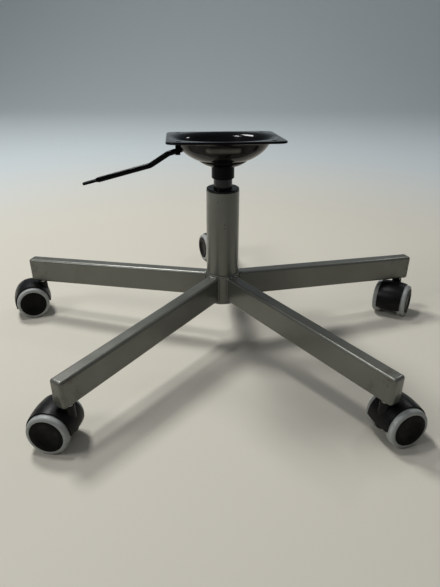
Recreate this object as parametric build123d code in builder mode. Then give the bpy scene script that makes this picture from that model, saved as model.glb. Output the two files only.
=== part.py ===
from build123d import *
import os
from math import cos, radians, sin, tan

# Five-star swivel chair base: steel arms on a hub, twin-wheel casters, a gas lift
# column, and the tilted seat plate with its height lever. Millimetres, +Z up, the
# front of the chair at -Y. The origin is the middle of the seat plate's bolt circle.

os.makedirs("parts", exist_ok=True)

# Clearances
running_gap = 0.05         # radial, between a shaft and its bore
press_gap = 0.02           # radial, between pieces pressed or welded together
free_gap = 0.3             # between faces that pass each other
moulding_gap = 0.5         # between a wheel and the hood around it

# Height of the whole base
seat_height = 331.0        # floor to the seat plate's top face, at its middle

# Hub and column
hub_radius = 27.0
hub_bottom = 73.0          # heights given as "bottom", "top" or "root" count from the floor
hub_height = 48.0
hub_chamfer = 1.0
column_radius = 25.0
column_wall = 2.0
column_bottom_height = 75.0
column_top = 252.0
bottom_plate_thickness = 4.0
bottom_plate_inset = 1.0   # between the tube's end and the plate pressed into it

# Arms
arm_count = 5
first_arm_angle = -52.4
arm_reach = 350.0          # column axis to the middle of the end face
arm_root_height = 117.0    # floor to the arm's upper edge, at the hub
arm_slope = 2.9
arm_height = 40.0
arm_width = 20.0
arm_wall = 1.5
arm_corner = 4.0
cap_thickness = 4.0
cap_edge = 1.2
cap_plug_depth = 3.0
cap_plug_wall = 2.0

# Caster stems and their sockets
stem_inset = 15.6          # from the arm's end face to the stem axis
socket_radius = 7.5
socket_length = 28.0
stem_radius = 5.5
stem_shank = 24.0
stem_collar_radius = 7.0
stem_collar_thickness = 1.4
journal_radius = 4.0
journal_length = 31.0
stem_chamfer = 0.8

# Casters
wheel_radius = 27.5
caster_trail = 20.0        # stem axis to axle axis
tyre_width = 14.0
tyre_depth = 7.5
tyre_shoulder = 3.0
wheel_outer_face = 28.5    # middle of the caster to the tyre's outer face
wheel_wall = 2.5
wheel_boss_radius = 6.5
wheel_face_inset = 0.8     # wheel disc behind the tyre's outer face
wheel_face_edge = 1.0
axle_radius = 3.0
axle_end_cover = 4.0       # between the axle's end and the tyre's outer face
hood_half_width = 20.5
hood_crown = 1.6           # how much the hood's middle stands above its edges
hood_wall = 1.8
hood_leading_angle = 180.0
hood_lip_angle = -20.0     # trailing lip, below the axle
hood_web = 17.0
hood_axle_boss = 8.0
hood_boss_bottom_radius = 9.5
hood_boss_top_radius = 7.8
hood_boss_floor = 22.0     # floor to the underside of the stem boss

# Which way each caster trails, counter-clockwise from +X, in the order of the arms
caster_turns = (22.1, -119.0, 112.0, 197.4, 169.6)

# Gas lift
cylinder_radius = 14.0
cylinder_wall = 1.5
cylinder_bottom = 96.0
cylinder_top = 306.0
cylinder_tip_radius = 13.2
gland_length = 8.0
cylinder_head = 16.0
lift_travel = 85.0
rod_radius = 4.0
rod_tail = 2.4             # rod below the bottom plate
rod_collar_radius = 8.0
rod_collar_thickness = 2.0
piston_length = 10.0
piston_travel_gap = 0.5
bush_length = 60.0
bush_flange_radius = 24.7
bush_flange_thickness = 3.5
bush_flange_edge = 1.4
bump_stop_radius = 12.0
race_thickness = 1.5
race_radius = 14.0
ball_radius = 2.0
ball_count = 10
ball_circle_radius = 10.0
clip_radius = 8.0
clip_thickness = 1.0
clip_groove_depth = 0.8
clip_opening = 5.0
clip_offset = 0.3          # between the bottom plate and the clip
button_radius = 4.0
button_well = 12.0
button_length = 11.0
button_edge = 0.8

# Seat plate and its sleeve
seat_turn = 4.4            # how far the seat stands turned about the column
plate_pitch = 5.5          # the plate leans back
plate_size = 165.0
plate_corner = 16.0
plate_thickness = 3.0
plate_edge = 0.8
bowl_radius = 65.5
bowl_depth = 34.0
bowl_round = 32.0
bowl_mouth_round = 4.0
bolt_spacing = 130.0
bolt_hole_radius = 4.25
sleeve_radius = 17.0
sleeve_bottom = 270.5
sleeve_top = 303.5
sleeve_edge = 0.8
cup_radius = 36.5
cup_wall = 2.5
cup_bottom = 288.8
cup_shoulder = 297.5
cup_middle_radius = 28.0
cup_middle = 292.0

# Release lever, measured outwards from the column axis
lever_radius = 4.0
lever_guide_place = 66.0
lever_end = -9.0
lever_height = 315.8
lever_bends = ((50.0, 315.8), (80.0, 307.3), (106.5, 290.3))
lever_bend_radius = 16.0
lever_grip_start = (183.0, 270.3)
lever_tang_neck = 8.0
lever_tang_length = 17.0
lever_tang_width = 9.0
lever_tang_thickness = 3.0
guide_thickness = 7.0
guide_width = 18.0
guide_bottom = 306.0
guide_hole_gap = 0.45
guide_edge = 1.5
bowl_window_radius = 6.0


def level(height):
    """A height above the floor, in the part's own frame."""
    return height - seat_height


# Places worked out from the sizes above
slope = radians(arm_slope)
arm_axis_height = level(arm_root_height) - arm_height / 2 / cos(slope) + hub_radius * tan(slope)
arm_run = arm_reach / cos(slope)
arm_axis = Plane(origin=(0, 0, arm_axis_height), x_dir=(0, 1, 0), z_dir=(cos(slope), 0, -sin(slope)))
stem_place = arm_reach - stem_inset
arm_underside = arm_axis_height - arm_height / 2 / cos(slope) - stem_place * tan(slope)
stem_seat = arm_underside - stem_chamfer
axle_height = level(wheel_radius)
hood_top = stem_seat - stem_collar_thickness - free_gap
inner_tyre_face = wheel_outer_face - tyre_width
rim_radius = wheel_radius - tyre_depth
arm_angles = [first_arm_angle + step * 360 / arm_count for step in range(arm_count)]


# Hub and column: the hub carries the arms, the column stands in it
with BuildPart() as hub:
    with BuildSketch(Plane.XY.offset(level(hub_bottom))):
        Circle(hub_radius)
        Circle(column_radius + press_gap, mode=Mode.SUBTRACT)
    extrude(amount=hub_height)
    chamfer(hub.edges().filter_by(GeomType.CIRCLE).sort_by(Axis.Z)[-2:].sort_by(SortBy.RADIUS)[-1:], hub_chamfer)

with BuildPart() as column_tube:
    with BuildSketch(Plane.XY.offset(level(column_bottom_height))):
        Circle(column_radius)
        Circle(column_radius - column_wall, mode=Mode.SUBTRACT)
    extrude(amount=column_top - column_bottom_height)

plate_bottom = level(column_bottom_height) + bottom_plate_inset
plate_top = plate_bottom + bottom_plate_thickness
with BuildPart() as column_bottom:
    with BuildSketch(Plane.XY.offset(plate_bottom)):
        Circle(column_radius - column_wall - press_gap)
        Circle(rod_radius + running_gap, mode=Mode.SUBTRACT)
    extrude(amount=bottom_plate_thickness)

# One arm along +X, then the same arm at each angle
with BuildPart() as arm_tube:
    with BuildSketch(arm_axis):
        RectangleRounded(arm_width, arm_height, arm_corner)
        RectangleRounded(
            arm_width - 2 * arm_wall, arm_height - 2 * arm_wall, arm_corner - arm_wall, mode=Mode.SUBTRACT
        )
    extrude(amount=arm_run - cap_thickness)
    with BuildSketch(Plane.XY.offset(arm_axis_height - arm_height)):
        Circle(hub_radius)
    extrude(amount=2 * arm_height, mode=Mode.SUBTRACT)
    with BuildSketch(Plane.XY.offset(arm_underside - arm_height / 2)):
        with Locations((stem_place, 0)):
            Circle(socket_radius + press_gap)
    extrude(amount=arm_height, mode=Mode.SUBTRACT)

cap_seat = arm_axis.offset(arm_run - cap_thickness)
plug_width = arm_width - 2 * arm_wall - 2 * press_gap
plug_height = arm_height - 2 * arm_wall - 2 * press_gap
with BuildPart() as arm_end_cap:
    with BuildSketch(cap_seat):
        RectangleRounded(arm_width, arm_height, arm_corner)
    extrude(amount=cap_thickness)
    fillet(arm_end_cap.faces().sort_by(Axis.X)[-1].edges(), cap_edge)
    with BuildSketch(cap_seat):
        RectangleRounded(plug_width, plug_height, arm_corner - arm_wall)
        RectangleRounded(
            plug_width - 2 * cap_plug_wall,
            plug_height - 2 * cap_plug_wall,
            (arm_corner - arm_wall) / 2,
            mode=Mode.SUBTRACT,
        )
    extrude(amount=-cap_plug_depth)

# Sockets in the arms' ends and the steel stems that stand in them
with BuildPart() as caster_sockets:
    with BuildSketch(Plane.XY.offset(stem_seat)):
        with PolarLocations(stem_place, arm_count, start_angle=first_arm_angle):
            Circle(socket_radius)
            Circle(stem_radius + press_gap, mode=Mode.SUBTRACT)
    extrude(amount=socket_length)

with BuildPart() as caster_stems:
    with BuildSketch(Plane.XY.offset(stem_seat)):
        with PolarLocations(stem_place, arm_count, start_angle=first_arm_angle):
            Circle(stem_radius)
    extrude(amount=stem_shank)
    chamfer(caster_stems.faces().group_by(Axis.Z)[-1].edges(), stem_chamfer)
    with BuildSketch(Plane.XY.offset(stem_seat)):
        with PolarLocations(stem_place, arm_count, start_angle=first_arm_angle):
            Circle(stem_collar_radius)
    extrude(amount=-stem_collar_thickness)
    with BuildSketch(Plane.XY.offset(stem_seat - stem_collar_thickness)):
        with PolarLocations(stem_place, arm_count, start_angle=first_arm_angle):
            Circle(journal_radius)
    extrude(amount=-journal_length)
    chamfer(caster_stems.faces().group_by(Axis.Z)[0].edges(), stem_chamfer)

# One caster with its stem on the Z axis, trailing towards +X
hood_edge_radius = wheel_radius + moulding_gap + hood_wall
hood_radius = hood_edge_radius + hood_crown
hood_arc = hood_leading_angle - hood_lip_angle
axle_line = Axis((caster_trail, 0, axle_height), (0, 1, 0))
hood_section = Plane(origin=(caster_trail, 0, axle_height), x_dir=(-1, 0, 0), z_dir=(0, 0, 1))
boss_bottom = level(hood_boss_floor)
with BuildPart() as caster_hood:
    with BuildSketch(hood_section):
        with BuildLine():
            outer = ThreePointArc(
                (hood_edge_radius, -hood_half_width), (hood_radius, 0), (hood_edge_radius, hood_half_width)
            )
            Line(outer @ 1, (hood_edge_radius - hood_wall, hood_half_width))
            inner = ThreePointArc(
                (hood_edge_radius - hood_wall, hood_half_width),
                (hood_radius - hood_wall, 0),
                (hood_edge_radius - hood_wall, -hood_half_width),
            )
            Line(inner @ 1, outer @ 0)
        make_face()
    revolve(axis=axle_line, revolution_arc=hood_arc)
    with BuildSketch(Plane.XZ):
        with BuildLine():
            rim = CenterArc(
                (caster_trail, axle_height), hood_edge_radius - hood_wall / 2, hood_lip_angle, hood_arc
            )
            Polyline(
                rim @ 1,
                (caster_trail - hood_axle_boss, axle_height - hood_axle_boss),
                (caster_trail + hood_axle_boss, axle_height - hood_axle_boss),
                rim @ 0,
            )
        make_face()
    extrude(amount=hood_web / 2, both=True)
    with BuildSketch(Plane.XZ):
        with BuildLine():
            Polyline(
                (0, boss_bottom),
                (hood_boss_bottom_radius, boss_bottom),
                (hood_boss_top_radius, hood_top),
                (0, hood_top),
                close=True,
            )
        make_face()
    revolve(axis=Axis.Z)
    with BuildSketch(Plane.XY.offset(stem_seat - stem_collar_thickness - journal_length - free_gap)):
        Circle(journal_radius + running_gap)
    extrude(amount=journal_length + 2 * free_gap, mode=Mode.SUBTRACT)
    with BuildSketch(Plane.XZ):
        with Locations((caster_trail, axle_height)):
            Circle(axle_radius + press_gap)
    extrude(amount=hood_web, both=True, mode=Mode.SUBTRACT)

axle_half_length = wheel_outer_face - axle_end_cover
with BuildPart() as caster_axle:
    with BuildSketch(Plane.XZ):
        with Locations((caster_trail, axle_height)):
            Circle(axle_radius)
    extrude(amount=axle_half_length, both=True)
    chamfer(caster_axle.edges().filter_by(GeomType.CIRCLE), stem_chamfer / 2)

# A wheel's half section: radius along local X, distance from the caster's middle along local Y
wheel_section = Plane(origin=(caster_trail, 0, axle_height), x_dir=(1, 0, 0), z_dir=(0, 0, 1))
disc_face = wheel_outer_face - wheel_face_inset
disc_back = axle_half_length + free_gap
with BuildPart() as wheel:
    with BuildSketch(wheel_section):
        with BuildLine():
            Polyline(
                (0, disc_face),
                (rim_radius - wheel_face_edge, disc_face),
                (rim_radius, disc_face - wheel_face_edge),
                (rim_radius, inner_tyre_face),
                (rim_radius - wheel_wall, inner_tyre_face),
                (rim_radius - wheel_wall, disc_back),
                (wheel_boss_radius, disc_back),
                (wheel_boss_radius, hood_web / 2 + free_gap),
                (axle_radius + running_gap, hood_web / 2 + free_gap),
                (axle_radius + running_gap, disc_back),
                (0, disc_back),
                close=True,
            )
        make_face()
    revolve(axis=axle_line)

with BuildPart() as tyre:
    with BuildSketch(wheel_section) as tyre_half:
        with Locations(((wheel_radius + rim_radius) / 2, (wheel_outer_face + inner_tyre_face) / 2)):
            Rectangle(tyre_depth, tyre_width)
        fillet(tyre_half.vertices().group_by(Axis.X)[-1], tyre_shoulder)
    revolve(axis=axle_line)

# Gas lift: thrust bearing, rod, piston, cylinder and guide bush
lower_race_bottom = plate_top
balls_height = lower_race_bottom + race_thickness + ball_radius
upper_race_bottom = balls_height + ball_radius + running_gap
rod_collar_bottom = upper_race_bottom + race_thickness
with BuildPart() as bearing_lower_race:
    with BuildSketch(Plane.XY.offset(lower_race_bottom)):
        Circle(race_radius)
        Circle(rod_radius + free_gap, mode=Mode.SUBTRACT)
    extrude(amount=race_thickness)

with BuildPart() as bearing_balls:
    with Locations((0, 0, balls_height)):
        with PolarLocations(ball_circle_radius, ball_count):
            Sphere(ball_radius)

with BuildPart() as bearing_upper_race:
    with BuildSketch(Plane.XY.offset(upper_race_bottom)):
        Circle(race_radius)
        Circle(rod_radius + press_gap, mode=Mode.SUBTRACT)
    extrude(amount=race_thickness)

cylinder_foot = level(cylinder_bottom)
gland_top = cylinder_foot + gland_length
piston_bottom = gland_top + lift_travel + piston_travel_gap
piston_top = piston_bottom + piston_length
clip_top = plate_bottom - clip_offset
groove_radius = rod_radius - clip_groove_depth
with BuildPart() as piston_rod:
    with BuildSketch(Plane.XZ):
        with BuildLine():
            Polyline(
                (0, plate_bottom - rod_tail),
                (rod_radius, plate_bottom - rod_tail),
                (rod_radius, clip_top - clip_thickness),
                (groove_radius, clip_top - clip_thickness),
                (groove_radius, clip_top),
                (rod_radius, clip_top),
                (rod_radius, rod_collar_bottom),
                (rod_collar_radius, rod_collar_bottom),
                (rod_collar_radius, rod_collar_bottom + rod_collar_thickness),
                (rod_radius, rod_collar_bottom + rod_collar_thickness),
                (rod_radius, piston_top),
                (0, piston_top),
                close=True,
            )
        make_face()
    revolve(axis=Axis.Z)

with BuildPart() as retaining_clip:
    with BuildSketch(Plane.XY.offset(clip_top - clip_thickness)):
        Circle(clip_radius)
        Circle(groove_radius + press_gap, mode=Mode.SUBTRACT)
        with Locations((0, -clip_radius)):
            Rectangle(clip_opening, 2 * clip_radius, mode=Mode.SUBTRACT)
    extrude(amount=clip_thickness)

bump_stop_bottom = rod_collar_bottom + rod_collar_thickness
with BuildPart() as bump_stop:
    with BuildSketch(Plane.XY.offset(bump_stop_bottom)):
        Circle(bump_stop_radius)
        Circle(rod_radius + press_gap, mode=Mode.SUBTRACT)
    extrude(amount=cylinder_foot - free_gap - bump_stop_bottom)

bore_radius = cylinder_radius - cylinder_wall
with BuildPart() as piston:
    with BuildSketch(Plane.XY.offset(piston_bottom)):
        Circle(bore_radius - running_gap)
        Circle(rod_radius + press_gap, mode=Mode.SUBTRACT)
    extrude(amount=piston_length)

with BuildPart() as gas_cylinder:
    with BuildSketch(Plane.XZ):
        with BuildLine():
            Polyline(
                (rod_radius + running_gap, cylinder_foot),
                (cylinder_radius, cylinder_foot),
                (cylinder_radius, level(sleeve_bottom)),
                (cylinder_tip_radius, level(cylinder_top)),
                (button_radius + running_gap, level(cylinder_top)),
                (button_radius + running_gap, level(cylinder_top) - button_well),
                (0, level(cylinder_top) - button_well),
                (0, level(cylinder_top) - cylinder_head),
                (bore_radius - (cylinder_radius - cylinder_tip_radius), level(cylinder_top) - cylinder_head),
                (bore_radius, level(sleeve_bottom)),
                (bore_radius, gland_top),
                (rod_radius + running_gap, gland_top),
                close=True,
            )
        make_face()
    revolve(axis=Axis.Z)

bush_radius = column_radius - column_wall - press_gap
with BuildPart() as guide_bush:
    with BuildSketch(Plane.XY.offset(level(column_top) - bush_length)):
        Circle(bush_radius)
    extrude(amount=bush_length)
    with BuildSketch(Plane.XY.offset(level(column_top))):
        Circle(bush_flange_radius)
    extrude(amount=bush_flange_thickness)
    fillet(guide_bush.edges().filter_by(GeomType.CIRCLE).sort_by(Axis.Z)[-1], bush_flange_edge)
    with BuildSketch(Plane.XY.offset(level(column_top) - bush_length)):
        Circle(cylinder_radius + running_gap)
    extrude(amount=bush_length + bush_flange_thickness, mode=Mode.SUBTRACT)

button_top = level(lever_height) - lever_radius - free_gap
with BuildPart() as release_button:
    with BuildSketch(Plane.XY.offset(button_top)):
        Circle(button_radius)
    extrude(amount=-button_length)
    fillet(release_button.edges().filter_by(GeomType.CIRCLE).sort_by(Axis.Z)[-1], button_edge)

# Seat plate: a pressed square flange with a round bowl, leaning back
turn = radians(seat_turn)
pitch = radians(plate_pitch)
plate_x = (cos(turn), sin(turn), 0)
plate_normal = (-sin(turn) * sin(pitch), cos(turn) * sin(pitch), cos(pitch))
plate_plane = Plane(origin=(0, 0, 0), x_dir=plate_x, z_dir=plate_normal)
plate_section = Plane(origin=(0, 0, 0), x_dir=plate_x, z_dir=-plate_plane.y_dir)
plate_axis = Axis((0, 0, 0), plate_normal)
bowl_outer = (bowl_radius, bowl_depth, bowl_round)
bowl_inner = (bowl_radius - plate_thickness, bowl_depth - plate_thickness, bowl_round - plate_thickness)

# The lever runs out over the plate's -X side: local X outwards, local Y up
lever_plane = Plane(
    origin=(0, 0, 0), x_dir=(-cos(turn), -sin(turn), 0), z_dir=(-sin(turn), cos(turn), 0)
)
bend_before, bend_after = lever_bends[0], lever_bends[1]
lever_fall = (bend_before[1] - bend_after[1]) / (bend_after[0] - bend_before[0])
pivot_height = level(bend_before[1]) - lever_fall * (lever_guide_place - bend_before[0])
lever_pivot = lever_plane.from_local_coords((lever_guide_place, pivot_height))
lever_out = Vector(-cos(turn), -sin(turn), -lever_fall)
guide_hole = Plane(origin=lever_pivot, z_dir=lever_out)

with BuildPart() as seat_plate:
    with BuildSketch(plate_plane):
        RectangleRounded(plate_size, plate_size, plate_corner)
    extrude(amount=-plate_thickness)
    fillet(seat_plate.faces().sort_by(plate_axis)[-1].edges(), plate_edge)
    for (radius, depth, corner), mode in ((bowl_outer, Mode.ADD), (bowl_inner, Mode.SUBTRACT)):
        with BuildSketch(plate_section) as bowl_half:
            with Locations((radius / 2, -depth / 2)):
                Rectangle(radius, depth)
            fillet(bowl_half.vertices().group_by(Axis.Y)[0].sort_by(Axis.X)[-1], corner)
        revolve(axis=plate_axis, mode=mode)
    fillet(seat_plate.faces().sort_by(plate_axis)[-1].inner_wires()[0].edges(), bowl_mouth_round)
    with BuildSketch(plate_plane):
        with GridLocations(bolt_spacing, bolt_spacing, 2, 2):
            Circle(bolt_hole_radius)
    extrude(amount=-plate_thickness, mode=Mode.SUBTRACT)
    with BuildSketch(Plane.XY.offset(level(cup_bottom))):
        Circle(sleeve_radius + press_gap)
    extrude(amount=bowl_depth, mode=Mode.SUBTRACT)
    with BuildSketch(guide_hole):
        Circle(bowl_window_radius)
    extrude(amount=-(lever_guide_place - bend_before[0]), mode=Mode.SUBTRACT)

# Support cup under the bowl and the tapered sleeve that takes the cylinder
with BuildPart() as support_cup:
    with BuildSketch(Plane.XZ):
        with BuildLine():
            under = ThreePointArc(
                (sleeve_radius + press_gap, level(cup_bottom)),
                (cup_middle_radius, level(cup_middle)),
                (cup_radius, level(cup_shoulder)),
            )
            Polyline(
                under @ 1,
                (cup_radius, level(sleeve_top)),
                (cup_radius - cup_wall, level(sleeve_top)),
                (cup_radius - cup_wall, level(cup_shoulder) + cup_wall / 2),
            )
            over = ThreePointArc(
                (cup_radius - cup_wall, level(cup_shoulder) + cup_wall / 2),
                (cup_middle_radius - cup_wall / 2, level(cup_middle) + cup_wall),
                (sleeve_radius + press_gap, level(cup_bottom) + cup_wall),
            )
            Line(over @ 1, under @ 0)
        make_face()
    revolve(axis=Axis.Z)
    split(bisect_by=plate_plane.offset(-bowl_depth), keep=Keep.BOTTOM)

taper = (cylinder_radius - cylinder_tip_radius) / (cylinder_top - sleeve_bottom)
sleeve_tip_bore = cylinder_radius - taper * (sleeve_top - sleeve_bottom) + press_gap
with BuildPart() as taper_sleeve:
    with BuildSketch(Plane.XZ):
        with BuildLine():
            Polyline(
                (cylinder_radius + press_gap, level(sleeve_bottom)),
                (sleeve_radius - sleeve_edge, level(sleeve_bottom)),
                (sleeve_radius, level(sleeve_bottom) + sleeve_edge),
                (sleeve_radius, level(sleeve_top)),
                (sleeve_tip_bore, level(sleeve_top)),
                close=True,
            )
        make_face()
    revolve(axis=Axis.Z)

# Release lever: a bent steel bar that rocks in the guide, with the bare tang of its lost grip
with BuildPart() as release_lever:
    with BuildLine(lever_plane) as lever_line:
        FilletPolyline(
            (lever_end, level(lever_height)),
            *[(reach, level(height)) for reach, height in lever_bends],
            (lever_grip_start[0], level(lever_grip_start[1])),
            radius=lever_bend_radius,
        )
    with BuildSketch(Plane(origin=lever_line.line @ 0, z_dir=lever_line.line % 0)):
        Circle(lever_radius)
    sweep()
    tang = Plane(origin=lever_line.line @ 1, x_dir=lever_plane.z_dir, z_dir=lever_line.line % 1)
    with BuildSketch(tang):
        Circle(lever_radius)
    with BuildSketch(tang.offset(lever_tang_neck)):
        Rectangle(lever_tang_width, lever_tang_thickness)
    loft()
    tang_flat = Plane(origin=tang.offset(lever_tang_neck).origin, x_dir=tang.z_dir, z_dir=tang.y_dir)
    with BuildSketch(tang_flat):
        with Locations((lever_tang_length / 2 - lever_tang_width / 4, 0)):
            Rectangle(lever_tang_length - lever_tang_width / 2, lever_tang_width)
        with Locations((lever_tang_length - lever_tang_width / 2, 0)):
            Circle(lever_tang_width / 2)
    extrude(amount=lever_tang_thickness / 2, both=True)

with BuildPart() as lever_guide:
    with BuildSketch(plate_plane.offset(-plate_thickness)):
        with Locations((-lever_guide_place, 0)):
            Rectangle(guide_thickness, guide_width)
    extrude(amount=level(guide_bottom) + plate_thickness)
    fillet(lever_guide.faces().sort_by(plate_axis)[0].edges().filter_by(Plane.XY), guide_edge)
    with BuildSketch(plate_section) as bowl_half:
        with Locations((bowl_radius / 2, -bowl_depth / 2)):
            Rectangle(bowl_radius, bowl_depth)
        fillet(bowl_half.vertices().group_by(Axis.Y)[0].sort_by(Axis.X)[-1], bowl_round)
    revolve(axis=plate_axis, mode=Mode.SUBTRACT)
    with BuildSketch(guide_hole):
        Circle(lever_radius + guide_hole_gap)
    extrude(amount=guide_thickness, both=True, mode=Mode.SUBTRACT)


def write(name, part):
    """Labels a finished piece and writes it."""
    part.label = name
    export_step(part, f"parts/{name}.step")


write("hub", hub.part)
write("column_tube", column_tube.part)
write("column_bottom", column_bottom.part)
write("caster_sockets", caster_sockets.part)
write("caster_stems", caster_stems.part)
write("bearing_lower_race", bearing_lower_race.part)
write("bearing_balls", bearing_balls.part)
write("guide_bush", guide_bush.part)
write("bearing_upper_race", bearing_upper_race.part)
write("piston_rod", piston_rod.part)
write("retaining_clip", retaining_clip.part)
write("bump_stop", bump_stop.part)
write("piston", piston.part)
write("gas_cylinder", gas_cylinder.part)
write("release_button", release_button.part)
write("seat_plate", seat_plate.part)
write("support_cup", support_cup.part)
write("taper_sleeve", taper_sleeve.part)
write("lever_guide", lever_guide.part)
write("release_lever", release_lever.part)

wheel_other_side = mirror(wheel.part, about=Plane.XZ)
tyre_other_side = mirror(tyre.part, about=Plane.XZ)
for number, (arm_angle, caster_turn) in enumerate(zip(arm_angles, caster_turns), start=1):
    write(f"arm_{number}_tube", arm_tube.part.rotate(Axis.Z, arm_angle))
    write(f"arm_{number}_end_cap", arm_end_cap.part.rotate(Axis.Z, arm_angle))
    stem_x = stem_place * cos(radians(arm_angle))
    stem_y = stem_place * sin(radians(arm_angle))
    standing = Location((stem_x, stem_y, 0), (0, 0, caster_turn))
    write(f"caster_{number}_hood", caster_hood.part.moved(standing))
    write(f"caster_{number}_axle", caster_axle.part.moved(standing))
    write(f"caster_{number}_left_wheel", wheel.part.moved(standing))
    write(f"caster_{number}_left_tyre", tyre.part.moved(standing))
    write(f"caster_{number}_right_wheel", wheel_other_side.moved(standing))
    write(f"caster_{number}_right_tyre", tyre_other_side.moved(standing))
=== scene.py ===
import math

import bmesh
import bpy
from mathutils import Matrix, Vector, noise as smooth_noise


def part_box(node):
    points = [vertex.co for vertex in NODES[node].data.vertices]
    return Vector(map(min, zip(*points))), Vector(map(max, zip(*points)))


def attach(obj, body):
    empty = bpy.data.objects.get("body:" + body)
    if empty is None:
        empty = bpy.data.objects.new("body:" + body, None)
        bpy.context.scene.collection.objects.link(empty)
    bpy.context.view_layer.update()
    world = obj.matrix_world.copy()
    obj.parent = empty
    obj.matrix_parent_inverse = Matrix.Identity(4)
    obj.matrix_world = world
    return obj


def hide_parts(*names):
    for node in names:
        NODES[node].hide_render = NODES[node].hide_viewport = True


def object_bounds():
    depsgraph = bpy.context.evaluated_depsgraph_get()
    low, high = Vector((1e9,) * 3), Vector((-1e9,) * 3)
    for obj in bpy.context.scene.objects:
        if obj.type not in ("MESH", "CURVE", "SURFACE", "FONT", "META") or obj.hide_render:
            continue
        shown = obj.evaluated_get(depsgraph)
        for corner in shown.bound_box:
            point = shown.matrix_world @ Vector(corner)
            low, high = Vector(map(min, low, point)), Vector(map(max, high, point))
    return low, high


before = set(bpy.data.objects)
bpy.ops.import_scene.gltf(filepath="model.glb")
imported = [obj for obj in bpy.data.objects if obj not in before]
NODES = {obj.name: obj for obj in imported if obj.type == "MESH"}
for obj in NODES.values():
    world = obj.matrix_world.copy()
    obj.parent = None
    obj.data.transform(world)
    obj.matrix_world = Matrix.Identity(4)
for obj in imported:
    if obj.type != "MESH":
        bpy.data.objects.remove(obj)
cad_low, cad_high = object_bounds()
FLOOR = cad_low[2]

# The arms' numbers, and their casters'
NUMBERS = range(1, 6)

# The photograph's camera, in metres and degrees, with its height above the floor
PICTURE_WIDTH = 440
FOCAL_PIXELS = 604.0
SENSOR = 36.0
CAMERA_BACK = 0.887
CAMERA_HEIGHT = 0.5006
CAMERA_PITCH = 25.41
CAMERA_YAW = 0.25
CAMERA_ROLL = 0.17

# The star's hub, column and arms, in metres
HUB_RADIUS = 0.0270
COLUMN_RADIUS = 0.025
ARM_WIDTH = 0.020
ARM_HEIGHT = 0.040
ARM_CORNER = 0.004
ARM_REACH = 0.350
ARM_SLOPE = math.radians(2.9)

# The round of an arm's closed end, how far it reaches into the arm, and the least radius of its corners
END_ROUND = 0.0039
END_OVERLAP = 0.0004
LEAST_CORNER = 0.00005
END_STEPS = 6

# The weld's bead, the places where it lies against hub and arm, and how much and how often it wavers
WELD_RADIUS = 0.0017
WELD_OFF_HUB = 0.0003
WELD_BELOW = 0.00005
WELD_WOBBLE = 0.35
WOBBLES_PER_METRE = 420

# A wheel, with distances along the axle counted from the caster's middle
TYRE_RADIUS = 0.0275
TYRE_BORE = 0.0200
TYRE_INNER_FACE = 0.0145
TYRE_OUTER_FACE = 0.0285
TYRE_SHOULDER = 0.0034
DISC_RADIUS = 0.0223
DISC_FACE = 0.0291
DISC_EDGE = 0.0010
DISC_PRESSED_IN = 0.0002
DISC_GAP = 0.00002
DISC_HOLLOW_RADIUS = 0.0175
DISC_BACK = 0.0248
RECESS_RADIUS = 0.0132
RECESS_DEPTH = 0.0007
WHEEL_STEPS = 96

# The seat plate: a pressed sheet, square outside, dished inside
PLATE_TURN = math.radians(4.4)
PLATE_PITCH = math.radians(5.5)
PLATE_HALF = 0.08248
PLATE_CORNER = 0.016
PLATE_THICKNESS = 0.003
PLATE_EDGE = 0.0008
PLATE_STEPS = 240
FLANGE_SHARES = (0.33, 0.67)
DISH_HOLE = 0.01702
BOLT_PLACE = 0.065
BOLT_RADIUS = 0.00425
BOLT_CUT = 0.01

# The lever's window: a cut along the lever, from just outside the dish to its inside
WINDOW_RADIUS = 0.006
WINDOW_REACH = 0.066
WINDOW_DROP = 0.01973
WINDOW_FALL = 8.5 / 30
WINDOW_INWARD = 0.018
WINDOW_OUTWARD = 0.001

# How far the guide stands into the dish's sheet, and the height that the trimming shape reaches
GUIDE_SEATING = 0.0002
TRIM_TOP = 0.005

# The dish's underside, as radius and depth below the plate's top face
DISH_SIDE = (
    (0.0300, 0.0340), (0.0350, 0.0339), (0.0400, 0.0324), (0.0460, 0.0297), (0.0545, 0.0242),
    (0.0620, 0.0175), (0.0672, 0.0108), (0.0705, 0.0067), (0.0747, 0.0040), (0.0795, 0.0030),
)

# Where a painted reflection lightens the dish's front: turns from its front, and centres that stand just
# outside it
REFLECTION_TURNS = range(-22, 16, 2)
REFLECTION_REACH = 0.0699
REFLECTION_DROP = 0.0179
REFLECTION_RADIUS = 0.0092

# Dark specks in the column's paint: height above the floor, degrees round the column, and radius
SPECKS = ((0.2395, -107.0, 0.0011), (0.2045, -83.5, 0.0010), (0.1985, -83.0, 0.0008), (0.1700, -60.0, 0.0007))

# The lamps' names, places, sizes in metres and powers in watts, and the point that they face
LAMP_TARGET = (0, 0, FLOOR + 0.15)
LAMPS = (
    ("key", (-0.97, 1.07, 1.95), (0.55, 0.55), 37),
    ("front", (-1.85, -1.1, 1.35), (0.8, 0.7), 14),
    ("fill", (1.9, -1.2, 1.5), (1.6, 1.2), 0.5),
    ("top", (-0.72, 0.05, 2.0), (0.27, 0.27), 14),
    ("window", (1.25, 1.25, 1.3), (0.22, 0.2), 3),
)
WORLD_COLOUR = (0.9, 0.93, 1.0, 1)
WORLD_STRENGTH = 0.15

# The stage: half its width, its front and back edges, the backdrop's height and the bend between them
STAGE_HALF_WIDTH = 4.5
STAGE_FRONT = -3.0
STAGE_DEPTH = 2.4
STAGE_RISE = 2.6
STAGE_BEND = 1.1
STAGE_STEPS = 16


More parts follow.
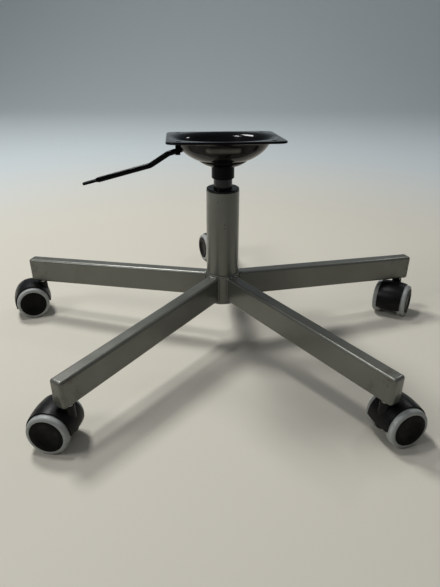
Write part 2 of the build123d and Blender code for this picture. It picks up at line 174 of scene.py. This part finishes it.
def add_camera():
    """The camera stands where the photograph was taken from."""
    data = bpy.data.cameras.new("camera")
    data.sensor_fit = "HORIZONTAL"
    data.sensor_width = SENSOR
    data.lens = FOCAL_PIXELS * SENSOR / PICTURE_WIDTH
    data.clip_end = 50
    camera = bpy.data.objects.new("camera", data)
    turn = Matrix.Rotation(math.radians(CAMERA_YAW), 4, "Z")
    tilt = Matrix.Rotation(math.radians(90 - CAMERA_PITCH), 4, "X")
    roll = Matrix.Rotation(math.radians(CAMERA_ROLL), 4, "Z")
    place = Matrix.Translation((0, -CAMERA_BACK, CAMERA_HEIGHT + FLOOR))
    camera.matrix_world = place @ turn @ tilt @ roll
    bpy.context.scene.collection.objects.link(camera)
    bpy.context.scene.camera = camera


def new_material(name):
    """An empty material and its shader."""
    material = bpy.data.materials.new(name)
    material.use_nodes = True
    shader = material.node_tree.nodes["Principled BSDF"]
    return material, shader


def node(material, kind, **values):
    """One more node in a material, with its sockets set by name."""
    made = material.node_tree.nodes.new(kind)
    for key, value in values.items():
        if key in made.inputs:
            made.inputs[key].default_value = value
        else:
            setattr(made, key, value)
    return made


def link(material, source, target):
    """Joins a node's output to a socket."""
    material.node_tree.links.new(source, target)


def place_in_object(material, stretch=(1, 1, 1)):
    """The shaded point in the object's own space, stretched."""
    place = node(material, "ShaderNodeTexCoord")
    mapping = node(material, "ShaderNodeMapping", Scale=stretch)
    link(material, place.outputs["Object"], mapping.inputs["Vector"])
    return mapping.outputs["Vector"]


def noise(material, scale, detail=4.0, roughness=0.55, stretch=(1, 1, 1)):
    """Noise in the object's own space, with its scale in features per metre."""
    grain = node(material, "ShaderNodeTexNoise", Scale=scale, Detail=detail, Roughness=roughness)
    link(material, place_in_object(material, stretch), grain.inputs["Vector"])
    return grain.outputs["Fac"]


def remap(material, value, low, high, out_low=0.0, out_high=1.0):
    """A smooth step of a value between two levels."""
    step = node(material, "ShaderNodeMapRange", interpolation_type="SMOOTHSTEP")
    step.inputs["From Min"].default_value = low
    step.inputs["From Max"].default_value = high
    step.inputs["To Min"].default_value = out_low
    step.inputs["To Max"].default_value = out_high
    link(material, value, step.inputs["Value"])
    return step.outputs["Result"]


def combine(material, first, second, operation="MULTIPLY"):
    """Two values joined by a sum, product or other operation."""
    joined = node(material, "ShaderNodeMath", operation=operation)
    link(material, first, joined.inputs[0])
    link(material, second, joined.inputs[1])
    return joined.outputs["Value"]


def mix_colour(material, factor, first, second):
    """Two colours mixed by a factor; each is a colour or another node's output."""
    mix = node(material, "ShaderNodeMix", data_type="RGBA")
    link(material, factor, mix.inputs["Factor"])
    for socket, colour in ((mix.inputs["A"], first), (mix.inputs["B"], second)):
        if isinstance(colour, tuple):
            socket.default_value = (*colour, 1)
        else:
            link(material, colour, socket)
    return mix.outputs["Result"]


def mix_value(material, factor, first, level):
    """A value that gives way to a constant level as the factor rises."""
    mix = node(material, "ShaderNodeMix", data_type="FLOAT", B=level)
    link(material, factor, mix.inputs["Factor"])
    link(material, first, mix.inputs["A"])
    return mix.outputs["Result"]


def bump(material, shader, height, distance, strength=1.0, below=None):
    """Raises the surface by a height, on top of another bump if one is given."""
    raised = node(material, "ShaderNodeBump", Distance=distance, Strength=strength)
    link(material, height, raised.inputs["Height"])
    if below is not None:
        link(material, below, raised.inputs["Normal"])
    link(material, raised.outputs["Normal"], shader.inputs["Normal"])
    return raised.outputs["Normal"]


def near(material, point, radius):
    """One close to a point, fading to nothing at a radius from it."""
    gap = node(material, "ShaderNodeVectorMath", operation="DISTANCE")
    gap.inputs[1].default_value = point
    link(material, place_in_object(material), gap.inputs[0])
    return remap(material, gap.outputs["Value"], radius, radius * 0.6)


def reach(material, low, high):
    """Rises from nothing to one between two distances from the column's axis."""
    length = node(material, "ShaderNodeVectorMath", operation="LENGTH")
    link(material, place_in_object(material, (1, 1, 0)), length.inputs[0])
    return remap(material, length.outputs["Value"], low, high)


def frame_paint():
    """Satin silver-grey paint on the steel star: scuffed, chipped in spots, browner, darker and duller in
    spots near the arms' ends.
    """
    material, shader = new_material("frame_paint")
    clouds = remap(material, noise(material, 9.0, 3.0), 0.3, 0.7)
    paint = mix_colour(material, clouds, (0.122, 0.125, 0.106), (0.145, 0.148, 0.126))
    streaks = remap(material, noise(material, 30.0, 8.0, 0.75, (1, 1, 0.25)), 0.56, 0.72, 0.0, 0.35)
    paint = mix_colour(material, streaks, paint, (0.108, 0.107, 0.092))
    spots = remap(material, noise(material, 48.0, 7.0, 0.7), 0.47, 0.66)
    # Brown, darker and duller spots near the arms' ends
    brown_end_spots = combine(material, reach(material, 0.29, 0.352), spots)
    paint = mix_colour(material, brown_end_spots, paint, (0.072, 0.058, 0.042))
    chips = remap(material, noise(material, 240.0, 2.0, 0.5), 0.755, 0.77)
    for height, degrees, radius in SPECKS:
        turn = math.radians(degrees)
        point = (COLUMN_RADIUS * math.cos(turn), COLUMN_RADIUS * math.sin(turn), FLOOR + height)
        chips = combine(material, chips, near(material, point, radius), "MAXIMUM")
    paint = mix_colour(material, chips, paint, (0.022, 0.020, 0.018))
    link(material, paint, shader.inputs["Base Color"])
    smudges = remap(material, noise(material, 26.0, 6.0, 0.65), 0.3, 0.75, 0.30, 0.42)
    rough = mix_value(material, brown_end_spots, smudges, 0.62)
    link(material, rough, shader.inputs["Roughness"])
    shader.inputs["Metallic"].default_value = 0.5
    shader.inputs["Coat Weight"].default_value = 0.45
    shader.inputs["Coat Roughness"].default_value = 0.16
    peel = bump(material, shader, noise(material, 650.0, 2.0, 0.5), 0.00008, 0.4)
    bump(material, shader, chips, -0.00008, 0.6, peel)
    return material


def tyre_rubber():
    """Grey moulded tread, dusty and lightly scratched."""
    material, shader = new_material("tyre")
    clouds = remap(material, noise(material, 60.0, 5.0), 0.3, 0.7)
    rubber = mix_colour(material, clouds, (0.270, 0.286, 0.276), (0.345, 0.362, 0.350))
    dirt = remap(material, noise(material, 150.0, 7.0, 0.7), 0.54, 0.74, 0.0, 0.8)
    rubber = mix_colour(material, dirt, rubber, (0.130, 0.118, 0.095))
    link(material, rubber, shader.inputs["Base Color"])
    rough = remap(material, noise(material, 120.0), 0.3, 0.7, 0.38, 0.58)
    link(material, rough, shader.inputs["Roughness"])
    bump(material, shader, noise(material, 1500.0, 3.0), 0.00005, 0.35)
    return material


def black_finish(name, colour, dust_colour, low_rough, high_rough, shine=0.3):
    """A black with a fine grain, and dust in the noise's high spots."""
    material, shader = new_material(name)
    dust = remap(material, noise(material, 70.0, 7.0, 0.7), 0.56, 0.82)
    link(material, mix_colour(material, dust, colour, dust_colour), shader.inputs["Base Color"])
    rough = remap(material, noise(material, 90.0), 0.3, 0.7, low_rough, high_rough)
    link(material, rough, shader.inputs["Roughness"])
    shader.inputs["Specular IOR Level"].default_value = shine
    bump(material, shader, noise(material, 2200.0, 2.0), 0.00004, 0.4)
    return material


def gloss_enamel():
    """Black gloss enamel with a soft orange peel, dust and scratches, and a painted reflection that lightens
    the dish's front.
    """
    material, shader = new_material("black_enamel")
    dust = remap(material, noise(material, 130.0, 8.0, 0.75), 0.60, 0.82)
    scratches = remap(material, noise(material, 60.0, 3.0, 0.5, (1, 14, 3)), 0.68, 0.72, 0.0, 0.5)
    enamel = mix_colour(material, dust, (0.0035, 0.0035, 0.004), (0.020, 0.019, 0.018))
    enamel = mix_colour(material, scratches, enamel, (0.035, 0.034, 0.032))
    across, back, up = plate_axes()
    # A pale painted reflection on the dish's front underside, made of overlapping spots, which also dulls the
    # enamel there
    painted_reflection = None
    for degrees in REFLECTION_TURNS:
        turn = math.radians(degrees)
        place = REFLECTION_REACH * (math.sin(turn) * across - math.cos(turn) * back) - REFLECTION_DROP * up
        spot = near(material, place, REFLECTION_RADIUS)
        painted_reflection = combine(material, painted_reflection, spot, "MAXIMUM") if painted_reflection else spot
    unevenness = remap(material, noise(material, 40.0, 1.0), 0.3, 0.7, 0.5, 0.8)
    painted_reflection = combine(material, painted_reflection, unevenness)
    link(material, mix_colour(material, painted_reflection, enamel, (0.190, 0.190, 0.163)), shader.inputs["Base Color"])
    rough = remap(material, noise(material, 45.0, 6.0, 0.65), 0.3, 0.75, 0.06, 0.16)
    link(material, mix_value(material, painted_reflection, rough, 0.4), shader.inputs["Roughness"])
    shader.inputs["Specular IOR Level"].default_value = 0.12
    bump(material, shader, noise(material, 160.0, 2.0), 0.00025, 0.12)
    return material


def bright_steel(name, colour, roughness):
    """Plain machined steel with fine turning marks."""
    material, shader = new_material(name)
    clouds = remap(material, noise(material, 80.0), 0.3, 0.7)
    darker = tuple(0.7 * part for part in colour)
    link(material, mix_colour(material, clouds, darker, colour), shader.inputs["Base Color"])
    shader.inputs["Metallic"].default_value = 1.0
    rough = remap(material, noise(material, 300.0), 0.3, 0.7, roughness * 0.8, roughness * 1.3)
    link(material, rough, shader.inputs["Roughness"])
    bump(material, shader, noise(material, 700.0, 2.0, 0.5, (1, 1, 8)), 0.00002, 0.4)
    return material


def dress(names, material):
    """Gives CAD nodes their finish."""
    for name in names:
        mesh = NODES[name].data
        mesh.materials.clear()
        mesh.materials.append(material)


def names_with(*endings):
    """The CAD nodes whose names have one of these endings."""
    return [name for name in NODES if name.endswith(endings)]


def section_outline(steps_per_corner=5, steps_per_side=14, inset=0.0):
    """Points round an arm's section, as sideways and upward offsets from its axis."""
    radius = max(ARM_CORNER - inset, LEAST_CORNER)
    half_width = ARM_WIDTH / 2 - inset - radius
    half_height = ARM_HEIGHT / 2 - inset - radius

    def on_corner(side, rise, degrees):
        turn = math.radians(degrees)
        return side * half_width + radius * math.cos(turn), rise * half_height + radius * math.sin(turn)

    corners = ((1, 1, 0), (-1, 1, 90), (-1, -1, 180), (1, -1, 270))
    points = []
    for index, (side, rise, start) in enumerate(corners):
        for step in range(steps_per_corner + 1):
            points.append(on_corner(side, rise, start + 90 * step / steps_per_corner))
        last = points[-1]
        end = on_corner(*corners[(index + 1) % 4])
        for step in range(1, steps_per_side):
            share = step / steps_per_side
            points.append((last[0] + (end[0] - last[0]) * share, last[1] + (end[1] - last[1]) * share))
    return points


def arc(centre_radius, centre_along, radius, start, end, steps=6):
    """Points on an arc of a turned profile, from one angle to another in degrees."""
    points = []
    for step in range(steps + 1):
        turn = math.radians(start + (end - start) * step / steps)
        points.append((centre_radius + radius * math.cos(turn), centre_along + radius * math.sin(turn)))
    return points


def join_rings(shape, rings, closed):
    """Faces between each ring of points and the next, and back to the first if closed."""
    pairs = list(zip(rings, rings[1:])) + ([(rings[-1], rings[0])] if closed else [])
    for here, there in pairs:
        count = max(len(here), len(there))
        for step in range(count):
            after = (step + 1) % count
            places = ((here, step), (here, after), (there, after), (there, step))
            corners = [ring[place % len(ring)] for ring, place in places]
            corners = [corner for index, corner in enumerate(corners) if corner not in corners[:index]]
            shape.faces.new(corners)


def tube_along(path, radii, sides=8):
    """A closed ring of tube along a closed path, with a radius at each point."""
    shape = bmesh.new()
    middle = sum(path, Vector()) / len(path)
    turns = [2 * math.pi * side / sides for side in range(sides)]
    rings = []
    for index, (point, radius) in enumerate(zip(path, radii)):
        along = (path[(index + 1) % len(path)] - path[index - 1]).normalized()
        across = along.cross((point - middle).normalized()).normalized()
        outward = across.cross(along)
        spokes = [radius * (math.cos(turn) * outward + math.sin(turn) * across) for turn in turns]
        rings.append([shape.verts.new(point + spoke) for spoke in spokes])
    join_rings(shape, rings, True)
    bmesh.ops.recalc_face_normals(shape, faces=shape.faces)
    return shape


def smooth_object(shape, name, material):
    """A smooth object in the scene, made from a shape."""
    mesh = bpy.data.meshes.new(name)
    shape.to_mesh(mesh)
    shape.free()
    for face in mesh.polygons:
        face.use_smooth = True
    mesh.materials.append(material)
    made = bpy.data.objects.new(name, mesh)
    bpy.context.scene.collection.objects.link(made)
    return made


def finished(shape, name, material, body):
    """Turns a shape into a smooth, dressed piece that moves with a body."""
    piece = smooth_object(shape, name, material)
    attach(piece, body)
    return piece


def turned(profile, middle, outward, steps=WHEEL_STEPS, closed=True):
    """A turned shape: the profile's radii stand round an axis, its other values along it."""
    shape = bmesh.new()
    first = outward.orthogonal().normalized()
    second = outward.cross(first)
    rings = []
    for radius, along in profile:
        count = steps if radius > 0 else 1
        rings.append([])
        for step in range(count):
            turn = 2 * math.pi * step / steps
            spoke = radius * (math.cos(turn) * first + math.sin(turn) * second)
            rings[-1].append(shape.verts.new(middle + along * outward + spoke))
    join_rings(shape, rings, closed)
    bmesh.ops.recalc_face_normals(shape, faces=shape.faces)
    return shape


def middle_of(name):
    """The middle of a CAD node's box."""
    low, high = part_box(name)
    return (Vector(low) + Vector(high)) / 2


def arm_directions(number):
    """An arm's level direction away from the column, and the direction across it."""
    middle = middle_of(f"arm_{number}_end_cap")
    out = Vector((middle.x, middle.y, 0)).normalized()
    return out, Vector((-out.y, out.x, 0))


def tyre_profile():
    """A soft tyre with round shoulders, as radius and distance along the axle."""
    shoulder = TYRE_RADIUS - TYRE_SHOULDER
    profile = [(TYRE_BORE, TYRE_INNER_FACE)]
    profile += arc(shoulder, TYRE_INNER_FACE + TYRE_SHOULDER, TYRE_SHOULDER, -90, 0)
    profile += arc(shoulder, TYRE_OUTER_FACE - TYRE_SHOULDER, TYRE_SHOULDER, 0, 90)
    return profile + [(TYRE_BORE, TYRE_OUTER_FACE)]


def disc_profile():
    """A pressed-on disc with a shallow recess, whose rim laps over the tyre's face."""
    recess = DISC_FACE - RECESS_DEPTH
    lap = TYRE_OUTER_FACE - DISC_PRESSED_IN
    profile = [(0, recess), (RECESS_RADIUS, recess), (RECESS_RADIUS + RECESS_DEPTH, DISC_FACE)]
    profile += arc(DISC_RADIUS - DISC_EDGE, DISC_FACE - DISC_EDGE, DISC_EDGE, 90, 0)
    return profile + [
        (DISC_RADIUS, lap),
        (TYRE_BORE - DISC_GAP, lap),
        (TYRE_BORE - DISC_GAP, TYRE_INNER_FACE),
        (DISC_HOLLOW_RADIUS, TYRE_INNER_FACE),
        (DISC_HOLLOW_RADIUS, DISC_BACK),
        (0, DISC_BACK),
    ]


def add_wheels(rubber, nylon):
    """Each wheel's tyre and disc, in place of its two CAD nodes."""
    for number in NUMBERS:
        pair = [middle_of(f"caster_{number}_{side}_tyre") for side in ("left", "right")]
        centre = (pair[0] + pair[1]) / 2
        for side, place in zip(("left", "right"), pair):
            outward = (place - centre).normalized()
            name = f"caster_{number}_{side}"
            tyre = turned(tyre_profile(), centre, outward)
            piece = finished(tyre, f"{name}_round_tyre", rubber, name)
            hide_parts(f"{name}_tyre")
            disc = turned(disc_profile(), centre, outward, closed=False)
            piece = finished(disc, f"{name}_disc", nylon, name)
            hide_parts(f"{name}_wheel")


def add_arm_ends(paint):
    """Each arm's closed end, with its edges and corners rounded as far as its thickness allows."""
    for number in NUMBERS:
        out, side = arm_directions(number)
        run = out * math.cos(ARM_SLOPE) - Vector((0, 0, math.sin(ARM_SLOPE)))
        rise = out * math.sin(ARM_SLOPE) + Vector((0, 0, math.cos(ARM_SLOPE)))
        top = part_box(f"arm_{number}_tube")[1][2]
        axis_height = top - ARM_HEIGHT / 2 / math.cos(ARM_SLOPE) + HUB_RADIUS * math.tan(ARM_SLOPE)
        length = ARM_REACH / math.cos(ARM_SLOPE)
        shape = bmesh.new()
        rings = []
        for step in range(-1, END_STEPS + 1):
            turn = math.radians(90 * max(step, 0) / END_STEPS)
            overlap = END_OVERLAP if step < 0 else 0
            forward = length - END_ROUND + END_ROUND * math.sin(turn) - overlap
            base = Vector((0, 0, axis_height)) + run * forward
            outline = section_outline(6, 3, END_ROUND * (1 - math.cos(turn)))
            rings.append([shape.verts.new(base + side * across + rise * up) for across, up in outline])
        join_rings(shape, rings, False)
        shape.faces.new(rings[-1])
        shape.faces.new(rings[0])
        bmesh.ops.recalc_face_normals(shape, faces=shape.faces)
        piece = finished(shape, f"arm_{number}_round_end", paint, "base")
        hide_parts(f"arm_{number}_end_cap")


def smooth_points(points, steps=4):
    """More points on a smooth curve through the given ones."""
    ends = [points[0], *points, points[-1]]
    curve = []
    for index in range(len(points) - 1):
        before, start, end, after = (Vector(point) for point in ends[index:index + 4])
        slope = end - before
        bend = 2 * before - 5 * start + 4 * end - after
        twist = 3 * start - before - 3 * end + after
        for step in range(steps):
            share = step / steps
            curve.append(0.5 * (2 * start + slope * share + bend * share ** 2 + twist * share ** 3))
    curve.append(Vector(points[-1]))
    return curve


def plate_axes():
    """The seat plate's sideways, backward and upward directions."""
    across = Vector((math.cos(PLATE_TURN), math.sin(PLATE_TURN), 0))
    lean = math.sin(PLATE_PITCH)
    up = Vector((-math.sin(PLATE_TURN) * lean, math.cos(PLATE_TURN) * lean, math.cos(PLATE_PITCH)))
    return across, up.cross(across), up


def edge_distance(turn):
    """How far the plate's outline stands from its middle in a direction."""
    x, y = abs(math.cos(turn)), abs(math.sin(turn))
    flat = PLATE_HALF / max(x, y)
    inner = PLATE_HALF - PLATE_CORNER
    if min(x, y) * flat <= inner:
        return flat
    along = inner * (x + y)
    return along + math.sqrt(along ** 2 - 2 * inner ** 2 + PLATE_CORNER ** 2)


def add_cylinder(shape, start, end, radius, sides=48):
    """Adds a closed cylinder between two points to a shape."""
    turn = (end - start).to_track_quat("Z", "Y").to_matrix().to_4x4()
    place = Matrix.Translation((start + end) / 2) @ turn
    sizes = {"segments": sides, "radius1": radius, "radius2": radius, "depth": (end - start).length}
    bmesh.ops.create_cone(shape, cap_ends=True, matrix=place, **sizes)


def cut(shape, cutter):
    """The first shape with the second one's room taken out of it."""
    objects = []
    for name, part in (("cut_shape", shape), ("cut_tool", cutter)):
        mesh = bpy.data.meshes.new(name)
        part.to_mesh(mesh)
        part.free()
        objects.append(bpy.data.objects.new(name, mesh))
        bpy.context.scene.collection.objects.link(objects[-1])
    boolean = objects[0].modifiers.new("cut", "BOOLEAN")
    boolean.operation = "DIFFERENCE"
    boolean.solver = "EXACT"
    boolean.object = objects[1]
    evaluated = objects[0].evaluated_get(bpy.context.evaluated_depsgraph_get())
    result = bmesh.new()
    result.from_mesh(bpy.data.meshes.new_from_object(evaluated))
    for item in objects:
        bpy.data.objects.remove(item)
    return result


def dish_points():
    """The dish's underside and inside, from its hole out to the flange, as radius and height."""
    under = [Vector((DISH_HOLE, -DISH_SIDE[0][1]))]
    under += [Vector((radius, -depth)) for radius, depth in smooth_points(DISH_SIDE)]
    inside = []
    for index, point in enumerate(under):
        along = (under[min(index + 1, len(under) - 1)] - under[max(index - 1, 0)]).normalized()
        inside.append(point + PLATE_THICKNESS * Vector((-along.y, along.x)))
    inside[0].x = under[0].x
    inside[-1].y = 0
    return under, inside


def plate_shape():
    """The plate before its bolt holes and window are cut: rings out over the edge and back below."""
    across, back, up = plate_axes()
    under, inside = dish_points()
    turns = [2 * math.pi * (step + 0.5) / PLATE_STEPS for step in range(PLATE_STEPS)]
    edge = [edge_distance(turn) for turn in turns]
    shape = bmesh.new()

    def ring(radii, height):
        points = []
        for turn, radius in zip(turns, radii):
            spoke = radius * (math.cos(turn) * across + math.sin(turn) * back)
            points.append(shape.verts.new(spoke + height * up))
        return points

    def round_rings(points):
        return [ring([point.x] * PLATE_STEPS, point.y) for point in points]

    def towards_edge(start, share, inset):
        return [start + (distance - inset - start) * share for distance in edge]

    rings = round_rings(inside)
    for share in (*FLANGE_SHARES, 1.0):
        rings.append(ring(towards_edge(inside[-1].x, share, PLATE_EDGE), 0))
    rings.append(ring(towards_edge(0, 1, PLATE_EDGE * 0.3), -PLATE_EDGE * 0.3))
    rings.append(ring(edge, -PLATE_EDGE))
    rings.append(ring(edge, -PLATE_THICKNESS + PLATE_EDGE / 2))
    rings.append(ring(towards_edge(0, 1, PLATE_EDGE / 2), -PLATE_THICKNESS))
    for share in reversed(FLANGE_SHARES):
        rings.append(ring(towards_edge(under[-1].x, share, PLATE_EDGE), -PLATE_THICKNESS))
    rings += round_rings(reversed(under))
    join_rings(shape, rings, True)
    bmesh.ops.recalc_face_normals(shape, faces=shape.faces)
    return shape


def plate_holes():
    """The room of the plate's four bolt holes and of the lever's window."""
    across, back, up = plate_axes()
    holes = bmesh.new()
    for x in (-BOLT_PLACE, BOLT_PLACE):
        for y in (-BOLT_PLACE, BOLT_PLACE):
            middle = x * across + y * back
            add_cylinder(holes, middle - BOLT_CUT * up, middle + BOLT_CUT * up, BOLT_RADIUS)
    out = Vector((-math.cos(PLATE_TURN), -math.sin(PLATE_TURN), 0))
    pivot = out * WINDOW_REACH - Vector((0, 0, WINDOW_DROP))
    along = (out - Vector((0, 0, WINDOW_FALL))).normalized()
    add_cylinder(holes, pivot - WINDOW_INWARD * along, pivot + WINDOW_OUTWARD * along, WINDOW_RADIUS)
    return holes


def add_seat_plate(enamel):
    """The pressed plate: a flange with round corners that runs down into a wide dish."""
    plate = cut(plate_shape(), plate_holes())
    piece = finished(plate, "seat_plate_dished", enamel, "seat")
    piece.data.set_sharp_from_angle(angle=math.radians(40))
    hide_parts("seat_plate")


def add_lever_guide(finish):
    """The lever's guide, trimmed to the dish that it is welded to."""
    guide = bmesh.new()
    guide.from_mesh(NODES["lever_guide"].data)
    under = dish_points()[0]
    profile = [(0, under[0].y)]
    profile += [(point.x - GUIDE_SEATING, point.y) for point in under]
    profile += [(under[-1].x, TRIM_TOP), (0, TRIM_TOP)]
    dish = turned(profile, Vector(), plate_axes()[2], closed=False)
    piece = finished(cut(guide, dish), "lever_guide_fitted", finish, "seat")
    piece.data.set_sharp_from_angle(angle=math.radians(35))
    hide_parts("lever_guide")


def add_welds(paint):
    """A painted fillet of weld round each arm's root, where it meets the hub."""
    for number in NUMBERS:
        out, side = arm_directions(number)
        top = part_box(f"arm_{number}_tube")[1][2]
        root = top - ARM_HEIGHT / 2 - WELD_BELOW
        path, radii = [], []
        for across, up in section_outline():
            run = math.sqrt(HUB_RADIUS ** 2 - across ** 2) + WELD_OFF_HUB
            point = out * run + side * across + Vector((0, 0, root + up))
            wobble = smooth_noise.noise(point * WOBBLES_PER_METRE)
            path.append(point)
            radii.append(WELD_RADIUS * (1 + WELD_WOBBLE * wobble))
        finished(tube_along(path, radii), f"arm_{number}_weld", paint, "base")


def floor_finish():
    """A pale warm tone that cools with distance."""
    material, shader = new_material("floor")
    tone = mix_colour(material, reach(material, 0.6, 1.6), (0.60, 0.572, 0.49), (0.59, 0.65, 0.665))
    link(material, tone, shader.inputs["Base Color"])
    shader.inputs["Roughness"].default_value = 0.9
    return material


def add_stage():
    """A plain floor that curves up into a backdrop."""
    profile = [(STAGE_FRONT, 0.0), (STAGE_DEPTH, 0.0)]
    for step in range(1, STAGE_STEPS + 1):
        angle = math.pi / 2 * step / STAGE_STEPS
        profile.append((STAGE_DEPTH + STAGE_BEND * math.sin(angle), STAGE_BEND * (1 - math.cos(angle))))
    profile.append((STAGE_DEPTH + STAGE_BEND, STAGE_RISE))
    shape = bmesh.new()
    sides = (-STAGE_HALF_WIDTH, STAGE_HALF_WIDTH)
    rows = [[shape.verts.new((x, y, FLOOR + z)) for x in sides] for y, z in profile]
    for lower, upper in zip(rows, rows[1:]):
        shape.faces.new((lower[0], lower[1], upper[1], upper[0]))
    smooth_object(shape, "floor", floor_finish())


def add_light(name, place, size, power):
    """A soft lamp aimed at the object's middle."""
    data = bpy.data.lights.new(name, "AREA")
    data.shape = "RECTANGLE"
    data.size, data.size_y = size
    data.energy = power
    lamp = bpy.data.objects.new(name, data)
    lamp.location = place
    lamp.rotation_euler = (Vector(LAMP_TARGET) - Vector(place)).to_track_quat("-Z", "Y").to_euler()
    bpy.context.scene.collection.objects.link(lamp)


def add_lights():
    """All the lamps, and a faint even light from everywhere."""
    for lamp in LAMPS:
        add_light(*lamp)
    world = bpy.data.worlds.new("world")
    world.use_nodes = True
    background = world.node_tree.nodes["Background"]
    background.inputs["Color"].default_value = WORLD_COLOUR
    background.inputs["Strength"].default_value = WORLD_STRENGTH
    bpy.context.scene.world = world


def grey(level):
    """A colour with the same level of red, green and blue."""
    return (level, level, level)


def make_finishes():
    """Every finish, by the name that its nodes and pieces go by."""
    return {
        "paint": frame_paint(),
        "rubber": tyre_rubber(),
        "enamel": gloss_enamel(),
        "hood": black_finish("caster_nylon", grey(0.003), (0.012, 0.011, 0.010), 0.3, 0.46, 0.18),
        "disc": black_finish("wheel_nylon", grey(0.0018), (0.008, 0.0075, 0.007), 0.4, 0.6, 0.1),
        "satin": black_finish("satin_black", grey(0.0012), (0.005, 0.0047, 0.0043), 0.12, 0.24, 0.08),
        "cylinder": black_finish("cylinder_black", grey(0.003), (0.010, 0.010, 0.009), 0.18, 0.3, 0.4),
        "plastic": black_finish("black_plastic", grey(0.0015), (0.008, 0.008, 0.007), 0.18, 0.32, 0.2),
        "button": bright_steel("button_metal", (0.5, 0.5, 0.48), 0.3),
        "bump": black_finish("bump_rubber", grey(0.02), grey(0.04), 0.6, 0.8),
        "steel": bright_steel("bright_steel", (0.55, 0.55, 0.54), 0.28),
    }


def dress_frame(finishes):
    """Gives every CAD node its finish."""
    inner = ["bearing_balls", "piston_rod", "retaining_clip", "piston", "caster_stems", "column_bottom"]
    dress([name for name in NODES if name.startswith("arm_")] + ["hub", "column_tube"], finishes["paint"])
    dress(names_with("_tyre"), finishes["rubber"])
    dress(names_with("_hood"), finishes["hood"])
    dress(names_with("_wheel"), finishes["disc"])
    dress(["seat_plate"], finishes["enamel"])
    dress(["support_cup", "taper_sleeve", "lever_guide", "release_lever"], finishes["satin"])
    dress(["gas_cylinder"], finishes["cylinder"])
    dress(["guide_bush", "caster_sockets"], finishes["plastic"])
    dress(["release_button"], finishes["button"])
    dress(["bump_stop"], finishes["bump"])
    dress(names_with("_axle", "_race") + inner, finishes["steel"])


add_camera()
add_stage()
add_lights()
finishes = make_finishes()
dress_frame(finishes)
add_welds(finishes["paint"])
add_arm_ends(finishes["paint"])
add_wheels(finishes["rubber"], finishes["disc"])
add_seat_plate(finishes["enamel"])
add_lever_guide(finishes["satin"])

bpy.context.scene.view_settings.view_transform = "Standard"
